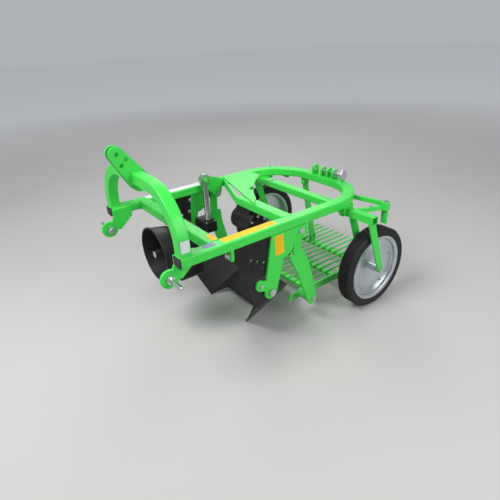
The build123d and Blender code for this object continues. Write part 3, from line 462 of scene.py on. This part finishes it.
def grown(name, data, tree, values, body, material, crease=sharp_angle):
    """Run a tree on a carrier and keep what it makes as one plain mesh."""
    carrier = bpy.data.objects.new(name + "_carrier", data)
    bpy.context.scene.collection.objects.link(carrier)
    maker = carrier.modifiers.new("maker", "NODES")
    maker.node_group = tree
    for socket in tree.interface.items_tree:
        if socket.item_type == "SOCKET" and socket.in_out == "INPUT" and socket.name in values:
            maker[socket.identifier] = values[socket.name]
    carrier.update_tag()
    depsgraph = bpy.context.evaluated_depsgraph_get()
    mesh = bpy.data.meshes.new_from_object(carrier.evaluated_get(depsgraph), depsgraph=depsgraph)
    carrier.modifiers.remove(maker)
    bpy.data.objects.remove(carrier)
    keep(name, mesh, body, material, (), crease)


rods, given, made = geometry_tree(
    "sieve_rods",
    (
        ("Count", "NodeSocketInt", rod_count),
        ("Pitch", "NodeSocketFloat", rod_pitch),
        ("Radius", "NodeSocketFloat", rod_radius),
        ("Length", "NodeSocketFloat", 0.6),
        ("Front", "NodeSocketVector", (0, 0, 0)),
    ),
)
row = rods.nodes.new("GeometryNodeMeshLine")
gap = rods.nodes.new("ShaderNodeCombineXYZ")
bar = rods.nodes.new("GeometryNodeMeshCylinder")
bar.inputs["Vertices"].default_value = 16
lying = rods.nodes.new("GeometryNodeTransform")
lying.inputs["Rotation"].default_value = (0, math.radians(90), 0)
spread_out = rods.nodes.new("GeometryNodeInstanceOnPoints")
for start, end in (
    (given.outputs["Count"], row.inputs["Count"]),
    (given.outputs["Pitch"], gap.inputs["Y"]),
    (gap.outputs[0], row.inputs["Offset"]),
    (given.outputs["Front"], row.inputs["Start Location"]),
    (given.outputs["Radius"], bar.inputs["Radius"]),
    (given.outputs["Length"], bar.inputs["Depth"]),
    (bar.outputs["Mesh"], lying.inputs["Geometry"]),
    (row.outputs[0], spread_out.inputs["Points"]),
    (lying.outputs[0], spread_out.inputs["Instance"]),
):
    rods.links.new(start, end)
rod_coat = finish("rubbed_green_coat", green_deep, green_light, 0.34, coat=0.05, grain=420.0, bump=0.08,
                  dust=0.40, dust_top=0.30, scuff=(0.66, 0.84), bare=(0.30, 0.34, 0.29), shine=0.38)
close_tree(rods, spread_out.outputs[0], made, rod_coat)
grown("sieve_rods", bpy.data.meshes.new("rod_seed"), rods,
      {"Count": rod_count, "Pitch": rod_pitch, "Radius": rod_radius, "Length": rod_reach[0] - rod_reach[1],
       "Front": (sum(rod_reach) / 2, -(rod_count // 2) * rod_pitch, rod_z)},
      "sieve", rod_coat, 40)


def round_hull(circles, steps=24):
    """Outline of a plate stretched round circles given as x, z and radius."""
    points = []
    for x, z, radius in circles:
        for step in range(steps):
            angle = 2 * math.pi * step / steps
            points.append((round(x + radius * math.cos(angle), 6), round(z + radius * math.sin(angle), 6)))
    points = sorted(set(points))
    halves = []
    for run in (points, points[::-1]):
        half = []
        for p in run:
            while len(half) > 1 and ((half[-1][0] - half[-2][0]) * (p[1] - half[-2][1])
                                     - (half[-1][1] - half[-2][1]) * (p[0] - half[-2][0])) <= 0:
                half.pop()
            half.append(p)
        halves.append(half[:-1])
    return halves[0] + halves[1]


def add_plate(bm, outline, low_y, high_y):
    """Flat plate that stands along the machine, from low_y to high_y."""
    near = [bm.verts.new((x, high_y, z)) for x, z in outline]
    far = [bm.verts.new((x, low_y, z)) for x, z in outline]
    bm.faces.new(near)
    bm.faces.new(far[::-1])
    count = len(outline)
    for i in range(count):
        bm.faces.new((near[i], near[(i + 1) % count], far[(i + 1) % count], far[i]))


rail_side = 0.308
plate_half = 0.004
stub_profile = ((0.0005, 0.0), (0.024, 0.0), (0.024, 0.0865), (0.0225, 0.0875), (0.010, 0.0875),
                (0.010, 0.0985), (0.0005, 0.0985))
stub_x = -0.030
stub_z = 0.143
hanger_y = -0.130
ear_offset = 0.0095
ear_radius = 0.018
ear_foot = 0.012
ear_corner = 0.006
pin_profile = ((0.0005, -0.0135), (0.008, -0.0135), (0.008, 0.0135), (0.0005, 0.0135))
bar_end = 0.306
bar_z = 0.114
bar_outline = (0.036, 0.024, 0.003)
bm = bmesh.new()
for side in (1, -1):
    rail_y = side * rail_side
    add_plate(bm, round_hull(rail_points), rail_y - plate_half, rail_y + plate_half)
    add_lathe(bm, stub_profile, (stub_x, rail_y, stub_z), (0, side, 0), 28)
for ear_y in (-ear_offset, ear_offset):
    ear = round_hull(((rear_pin[0], rear_pin[1], ear_radius), (rear_pin[0] - ear_foot, rod_z, ear_corner),
                      (rear_pin[0] + ear_foot, rod_z, ear_corner)))
    add_plate(bm, ear, hanger_y + ear_y - plate_half, hanger_y + ear_y + plate_half)
add_lathe(bm, pin_profile, (rear_pin[0], hanger_y, rear_pin[1]), (0, 1, 0), 20)
for bar_x in (-0.112, -0.330, rear_pin[0]):
    add_tube(bm, bent_path(((bar_x, bar_end, bar_z), (bar_x, -bar_end, bar_z))),
             rounded_outline(*bar_outline), (0, 0, 1))
made_piece("sieve_carrier", bm, "sieve", rod_coat, ("sieve",))

# Wheels. A solid rubber tyre with fine ribs sits between the flanges of a galvanized pressed rim.
# Each turns on an axle in its fork.
wheel_centre = (-0.416, 0.471, 0.231)
galvanized = finish("galvanized_sheet", (0.48, 0.54, 0.57), (0.70, 0.76, 0.79), 0.22, spread=0.22, metal=1.0,
                    patch=26.0, grain=300.0, bump=0.10, dust=0.35, dust_top=0.42)
tyre_rubber = finish("black_tyre_rubber", (0.007, 0.007, 0.0075), (0.015, 0.015, 0.016), 0.50, spread=0.2,
                     patch=20.0, grain=800.0, bump=0.35, dust=0.06, dust_top=0.40, shine=0.25)
rim_profile = (
    (0.0101, -0.046), (0.020, -0.046), (0.021, -0.045), (0.021, -0.019), (0.030, -0.0155), (0.114, 0.0065),
    (0.121, 0.008), (0.160, 0.008), (0.166, 0.005), (0.168, 0.000), (0.168, -0.030), (0.171, -0.0335),
    (0.184, -0.0375), (0.1865, -0.038), (0.187, -0.0365), (0.1862, -0.0345), (0.174, -0.031), (0.172, -0.028),
    (0.172, 0.028), (0.174, 0.031), (0.1862, 0.0345), (0.187, 0.0365), (0.1865, 0.038), (0.184, 0.0375),
    (0.171, 0.0335), (0.168, 0.030), (0.168, 0.018), (0.165, 0.0135), (0.160, 0.012), (0.120, 0.012),
    (0.112, 0.0098), (0.030, -0.0115), (0.021, -0.0075), (0.021, 0.045), (0.020, 0.046), (0.0101, 0.046),
)
tyre_profile = [(0.1722, -0.029), (0.1862, -0.0335), (0.189, -0.0365), (0.1925, -0.0405), (0.200, -0.042),
                (0.214, -0.042), (0.222, -0.0405), (0.2275, -0.0370)]
side_wall = list(tyre_profile)
rib_edges = (-0.0335, -0.0235, -0.0210, -0.0135, -0.0110, -0.0035,
             0.0035, 0.0110, 0.0135, 0.0210, 0.0235, 0.0335)
rib_top = 0.2310
rib_shoulder = 0.2300
rib_round = 0.001
groove_floor = 0.2265
for rib in range(0, len(rib_edges), 2):
    low, high = rib_edges[rib:rib + 2]
    tyre_profile += [(rib_shoulder, low), (rib_top, low + rib_round), (rib_top, high - rib_round),
                     (rib_shoulder, high)]
    if rib + 2 < len(rib_edges):
        tyre_profile += [(groove_floor, high), (groove_floor, rib_edges[rib + 2])]
tyre_profile += [(r, -y) for r, y in reversed(side_wall)]
tread_blocks = 84
cut_above = 0.2295
block_rows = ((0.00, 0.0), (0.80, 0.0), (0.82, 0.0022), (0.98, 0.0022))


def add_tread(bm, profile, centre, side):
    """Turned tyre whose ribs are cut across into short blocks; profile rows are radius and distance."""
    rings = []
    for block in range(tread_blocks):
        for part, drop in block_rows:
            angle = 2 * math.pi * (block + part) / tread_blocks
            out = Vector((math.cos(angle), 0, math.sin(angle)))
            ring = []
            for r, d in profile:
                reach = r - drop if r > cut_above else r
                ring.append(bm.verts.new(Vector(centre) + out * reach + Vector((0, side * d, 0))))
            rings.append(ring)
    count = len(profile)
    for ring, following in zip(rings, rings[1:] + rings[:1]):
        for i in range(count):
            bm.faces.new((ring[i], ring[(i + 1) % count], following[(i + 1) % count], following[i]))


for side, hand in ((1, "left"), (-1, "right")):
    centre = (wheel_centre[0], side * wheel_centre[1], wheel_centre[2])
    body = "wheel_" + hand
    bm = bmesh.new()
    add_lathe(bm, rim_profile, centre, (0, side, 0), 96)
    made_piece("pressed_rim_" + hand, bm, body, galvanized, ("wheel_rim_" + hand,), 55)
    bm = bmesh.new()
    add_tread(bm, tyre_profile, centre, side)
    made_piece("ribbed_tyre_" + hand, bm, body, tyre_rubber, ("tyre_" + hand,), 40)

# Weld beads. Each joint of the frame has a run of overlapping scales of weld metal.
# They lie under the green coat.
weld_runs = [
    ((0.121, -0.028, 0.595), (0.121, -0.028, 0.636)),
    ((0.063, 0.060, 0.639), (0.063, 0.000, 0.639)),
]
bar_half = 0.030
for x, end_y in ((0.507, 0.340), (0.507, -0.340), (0.093, 0.340)):
    for edge in (-bar_half, bar_half):
        weld_runs.append(((x + edge, end_y, 0.595), (x + edge, end_y, 0.637)))
arch_foot = ((0.642, 0.344), (0.694, 0.344), (0.694, 0.396), (0.642, 0.396), (0.642, 0.344))
arch_square = ((0.642, 0.854), (0.694, 0.854), (0.694, 0.906), (0.642, 0.906), (0.642, 0.854))
bracket_y = 0.0235
rear_bar_end = 0.3385
for side in (1, -1):
    for start, end in zip(arch_foot, arch_foot[1:]):
        weld_runs.append(((start[0], side * start[1], beam_top), (end[0], side * end[1], beam_top)))
    weld_runs.append(((0.600, side * 0.340, 0.632), (0.640, side * 0.340, 0.632)))
    weld_runs.append(((0.030, side * 0.388, 0.593), (0.230, side * 0.388, 0.593)))
    for start, end in zip(arch_square, arch_square[1:]):
        weld_runs.append(((start[0], side * bracket_y, start[1]), (end[0], side * bracket_y, end[1])))
    for x in (-0.315, -0.265):
        weld_runs.append(((x, side * rear_bar_end, 0.555), (x, side * rear_bar_end, 0.592)))
    for y in (0.411, 0.526):
        weld_runs.append(((-0.330, side * y, 0.535), (-0.290, side * y, 0.535)))
lug_places = (-0.040, 0.028, 0.072, 0.114)
lug_half = 0.006
for y in lug_places:
    for edge in (-lug_half, lug_half):
        weld_runs.append(((-0.497, y + edge, beam_top), (-0.457, y + edge, beam_top)))
weld, given, made = geometry_tree(
    "weld_bead",
    (("Step", "NodeSocketFloat", 0.004), ("Radius", "NodeSocketFloat", 0.004)),
)
divided = weld.nodes.new("GeometryNodeResampleCurve")
divided.mode = "LENGTH"
scale_shape = weld.nodes.new("GeometryNodeMeshUVSphere")
scale_shape.inputs["Segments"].default_value = 8
scale_shape.inputs["Rings"].default_value = 5
laid_down = weld.nodes.new("GeometryNodeInstanceOnPoints")
for start, end in (
    (given.outputs["Geometry"], divided.inputs["Curve"]),
    (given.outputs["Step"], divided.inputs["Length"]),
    (given.outputs["Radius"], scale_shape.inputs["Radius"]),
    (divided.outputs[0], laid_down.inputs["Points"]),
    (scale_shape.outputs["Mesh"], laid_down.inputs["Instance"]),
):
    weld.links.new(start, end)
close_tree(weld, laid_down.outputs[0], made, green_paint)
run_curve = bpy.data.curves.new("weld_runs", "CURVE")
run_curve.dimensions = "3D"
for start, end in weld_runs:
    spline = run_curve.splines.new("POLY")
    spline.points.add(1)
    spline.points[0].co = (*start, 1)
    spline.points[1].co = (*end, 1)
grown("weld_beads", run_curve, weld, {"Step": 0.0036, "Radius": 0.0034},
      "frame", green_paint, 80)

# Bolts and nuts. Zinc-plated hexagon heads on washers hold the drive's housings, the scrapers, the shields,
# the lug pin, the sieve's stubs and the rims.
bolt, given, made = geometry_tree(
    "hexagon_bolt",
    (
        ("Head Radius", "NodeSocketFloat", 1.1),
        ("Head Height", "NodeSocketFloat", 0.7),
        ("Washer Radius", "NodeSocketFloat", 1.35),
        ("Washer Height", "NodeSocketFloat", 0.2),
        ("Shank Radius", "NodeSocketFloat", 0.5),
        ("Shank Height", "NodeSocketFloat", 1.0),
    ),
)
layers = bolt.nodes.new("GeometryNodeJoinGeometry")
for layer, corners, lift in (("Washer", 24, 0.10), ("Head", 6, 0.55), ("Shank", 16, 0.70)):
    disc = bolt.nodes.new("GeometryNodeMeshCylinder")
    disc.inputs["Vertices"].default_value = corners
    raised = bolt.nodes.new("GeometryNodeTransform")
    raised.inputs["Translation"].default_value = (0, 0, lift)
    bolt.links.new(given.outputs[layer + " Radius"], disc.inputs["Radius"])
    bolt.links.new(given.outputs[layer + " Height"], disc.inputs["Depth"])
    bolt.links.new(disc.outputs["Mesh"], raised.inputs["Geometry"])
    bolt.links.new(raised.outputs[0], layers.inputs[0])
facing = bolt.nodes.new("GeometryNodeInputNamedAttribute")
facing.data_type = "FLOAT_VECTOR"
facing.inputs["Name"].default_value = "facing"
size = bolt.nodes.new("GeometryNodeInputNamedAttribute")
size.data_type = "FLOAT"
size.inputs["Name"].default_value = "size"
turned = bolt.nodes.new("FunctionNodeAlignRotationToVector")
turned.axis = "Z"
fastened = bolt.nodes.new("GeometryNodeInstanceOnPoints")
for start, end in (
    (given.outputs["Geometry"], fastened.inputs["Points"]),
    (layers.outputs[0], fastened.inputs["Instance"]),
    (facing.outputs[0], turned.inputs["Vector"]),
    (turned.outputs[0], fastened.inputs["Rotation"]),
    (size.outputs[0], fastened.inputs["Scale"]),
):
    bolt.links.new(start, end)
close_tree(bolt, fastened.outputs[0], made, zinc_plate)


def bolted(name, body, rows):
    """Bolts of one body; rows are place, facing and thread size."""
    mesh = bpy.data.meshes.new(name + "_places")
    mesh.from_pydata([place for place, _, _ in rows], [], [])
    turn = mesh.attributes.new("facing", "FLOAT_VECTOR", "POINT")
    turn.data.foreach_set("vector", [value for _, way, _ in rows for value in way])
    thread = mesh.attributes.new("size", "FLOAT", "POINT")
    thread.data.foreach_set("value", [value for _, _, value in rows])
    grown(name, mesh, bolt, {"Head Radius": 1.0}, body, zinc_plate, 30)


# Gearbox plate, drum cover, scrapers with the shield brackets, lug pin, rear crossbar and eccentric box
gearbox_bolts = [((x, y, 0.583), (0, 0, -1), 0.010) for x in (0.440, 0.506) for y in (-0.092, 0.092)]
drum_centre = (0.093, 0.515)
drum_circle = 0.047
drum_bolts = []
for k in range(6):
    angle = math.radians(60 * k + 30)
    drum_bolts.append(((drum_centre[0] + drum_circle * math.cos(angle), 0.115,
                        drum_centre[1] + drum_circle * math.sin(angle)), (0, 1, 0), 0.006))
side_bolts = []
for side in (1, -1):
    side_bolts.append(((-0.480, side * 0.478, 0.593), (0, 0, 1), 0.011))
    side_bolts.append(((-0.405, side * 0.445, 0.575), (0, 0, 1), 0.008))
    side_bolts.append(((0.452, side * 0.364, 0.560), (1, 0, 0), 0.012))
    side_bolts.append(((0.226, side * 0.384, 0.480), (0, -side, 0), 0.008))
    side_bolts.append(((0.215, side * 0.384, 0.550), (0, -side, 0), 0.008))
lug_nuts = [((-0.477, y, 0.669), (0, 1, 0), 0.0135) for y in (0.034, 0.120)]
rear_bolt = [((-0.283, -0.225, 0.593), (0, 0, 1), 0.011)]
box_bolts = [((x, y, 0.428), (0, 0, 1), 0.005) for x in (0.125, 0.184) for y in (-0.265, -0.378)]
bolted("frame_bolts", "frame", gearbox_bolts + drum_bolts + side_bolts + lug_nuts + rear_bolt + box_bolts)
stub_end = 0.4065
bolted("sieve_nuts", "sieve", [((stub_x, side * stub_end, stub_z), (0, side, 0), 0.011) for side in (1, -1)])
rim_bolt_count = 5
rim_bolt_circle = 0.140
rim_face = 0.012
for side, hand in ((1, "left"), (-1, "right")):
    rows = []
    for k in range(rim_bolt_count):
        angle = math.radians(360 // rim_bolt_count * k + 20)
        place = (wheel_centre[0] + rim_bolt_circle * math.cos(angle), side * (wheel_centre[1] + rim_face),
                 wheel_centre[2] + rim_bolt_circle * math.sin(angle))
        rows.append((place, (0, side, 0), 0.007))
    bolted("rim_bolts_" + hand, "wheel_" + hand, rows)

# Coloured panels. Thin plain foils of plastic are stuck on the beams, the front crossbar, the arch's foot
# and the left leg.
panel_thick = 0.0005
machine_middle = Vector((0.3, 0, 0.4))
foil_yellow = finish("yellow_foil", (0.66, 0.40, 0.006), (0.72, 0.45, 0.009), 0.50, grain=600.0, bump=0.03,
                     dust=0.05, shine=0.25)
foil_white = finish("white_foil", (0.56, 0.585, 0.585), (0.64, 0.66, 0.66), 0.60, grain=600.0, bump=0.03,
                    dust=0.05, shine=0.2)
foil_blue = finish("blue_grey_foil", (0.060, 0.110, 0.210), (0.150, 0.210, 0.330), 0.40, coat=0.1,
                   grain=600.0, bump=0.03, dust=0.05)
for name, material, centre, along, across, length, width, corner in (
    ("beam_panel", foil_yellow, (0.335, 0.364, 0.638), (1, 0, 0), (0, 1, 0), 0.290, 0.044, 0.003),
    ("crossbar_panel", foil_yellow, (0.494, 0.305, 0.638), (1, 0, 0), (0, 1, 0), 0.030, 0.062, 0.003),
    ("leg_panel", foil_yellow, (0.190, 0.400, 0.536), (0.05, 0, 0.9987), (0.9987, 0, -0.05),
     0.100, 0.054, 0.004),
    ("arch_panel", foil_white, (0.6685, 0.396, 0.684), (0, 0, 1), (1, 0, 0), 0.052, 0.040, 0.002),
    ("far_beam_panel", foil_white, (0.243, -0.370, 0.638), (1, 0, 0), (0, 1, 0), 0.205, 0.046, 0.003),
    ("front_beam_panel", foil_white, (0.468, -0.370, 0.638), (1, 0, 0), (0, 1, 0), 0.040, 0.046, 0.003),
    ("oval_panel", foil_blue, (0.545, 0.366, 0.638), (1, 0, 0), (0, 1, 0), 0.062, 0.036, 0.017),
):
    bm = bmesh.new()
    along = Vector(along)
    across = Vector(across)
    outward = along.cross(across)
    if outward.dot(Vector(centre) - machine_middle) < 0:
        outward = -outward
    low = [bm.verts.new(Vector(centre) + along * u + across * v)
           for u, v in rounded_outline(length, width, corner, 6)]
    high = [bm.verts.new(v.co + outward * panel_thick) for v in low]
    bm.faces.new(low)
    bm.faces.new(high)
    for i in range(len(low)):
        j = (i + 1) % len(low)
        bm.faces.new((low[i], low[j], high[j], high[i]))
    made_piece(name, bm, "frame", material)

# Studio. A pale floor whose colour is painted lighter far from the machine, as painted light that stands in
# for the lamps' light falling off, so it fades into an even sky. A lamp above the front, one on the left and
# a weaker one behind on the right.
floor_half = 30
# Distances from the machine over which the floor's painted light rises to the near-white far tone.
painted_light_start = 3.0
painted_light_end = 9.0
floor_painted_far_light = (0.97, 0.97, 0.97, 1)
floor_mesh = bpy.data.meshes.new("floor")
floor_corners = [(x * floor_half, y * floor_half, 0) for x, y in ((-1, -1), (1, -1), (1, 1), (-1, 1))]
floor_mesh.from_pydata(floor_corners, [], [(0, 1, 2, 3)])
floor = bpy.data.objects.new("floor", floor_mesh)
bpy.context.scene.collection.objects.link(floor)
floor_coat = finish("pale_floor", (0.42, 0.415, 0.405), (0.46, 0.455, 0.445), 0.9, patch=0.6, grain=60.0,
                    bump=0.02, dust=0.0, shine=0.1)
floor_nodes = floor_coat.node_tree.nodes
floor_shader = floor_nodes["Principled BSDF"]
near_tone = floor_shader.inputs["Base Color"].links[0].from_socket
# Painted light: the floor's own tone is mixed towards a near-white far tone with distance, in place of the
# lamp light that falls off far away.
floor_place = floor_nodes.new("ShaderNodeTexCoord")
distance = floor_nodes.new("ShaderNodeVectorMath")
distance.operation = "LENGTH"
painted_light_ramp = floor_nodes.new("ShaderNodeMapRange")
painted_light_ramp.inputs["From Min"].default_value = painted_light_start
painted_light_ramp.inputs["From Max"].default_value = painted_light_end
painted_light_ramp.interpolation_type = "SMOOTHSTEP"
painted_light_mix = floor_nodes.new("ShaderNodeMix")
painted_light_mix.data_type = "RGBA"
painted_light_mix.inputs[7].default_value = floor_painted_far_light
for start, end in (
    (floor_place.outputs["Object"], distance.inputs[0]),
    (distance.outputs["Value"], painted_light_ramp.inputs["Value"]),
    (painted_light_ramp.outputs[0], painted_light_mix.inputs[0]),
    (near_tone, painted_light_mix.inputs[6]),
    (painted_light_mix.outputs[2], floor_shader.inputs["Base Color"]),
):
    floor_coat.node_tree.links.new(start, end)
floor_mesh.materials.append(floor_coat)
floor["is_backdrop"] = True
world = bpy.data.worlds.new("even_sky")
bpy.context.scene.world = world
world.use_nodes = True
world.node_tree.nodes["Background"].inputs["Color"].default_value = (0.93, 0.96, 1.0, 1)
world.node_tree.nodes["Background"].inputs["Strength"].default_value = 0.46
for name, spot, aim, span, power in (
    ("key_lamp", (2.2, 0.0, 3.4), (0.0, 0.0, 0.4), 1.5, 130.0),
    ("side_lamp", (-0.6, 3.8, 2.4), (0.0, 0.0, 0.4), 2.4, 100.0),
    ("back_lamp", (-2.2, -3.0, 3.2), (0.0, 0.0, 0.5), 2.4, 60.0),
):
    lamp = bpy.data.lights.new(name, "AREA")
    lamp.size = span
    lamp.energy = power
    stand = bpy.data.objects.new(name, lamp)
    stand.location = spot
    stand.rotation_euler = (Vector(aim) - Vector(spot)).to_track_quat("-Z", "Y").to_euler()
    bpy.context.scene.collection.objects.link(stand)

# Camera. It stands left of the machine's front and looks down on it, tilted a little.
# Its three directions are right, up and ahead.
eye = (1.332, 1.743, 1.420)
rightward = (-0.7965, 0.6031, -0.0421)
upward = (-0.3049, -0.3406, 0.8894)
look = (-0.5221, -0.7212, -0.4552)
camera_data = bpy.data.cameras.new("camera")
camera_data.lens = 30.56
camera_data.sensor_width = 36.0
camera_data.shift_y = -0.002
camera = bpy.data.objects.new("camera", camera_data)
bpy.context.scene.collection.objects.link(camera)
turn = Matrix((rightward, upward, [-v for v in look])).transposed()
camera.matrix_world = Matrix.Translation(eye) @ turn.to_quaternion().to_matrix().to_4x4()
bpy.context.scene.camera = camera
bpy.context.scene.view_settings.view_transform = "Standard"

low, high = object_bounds()
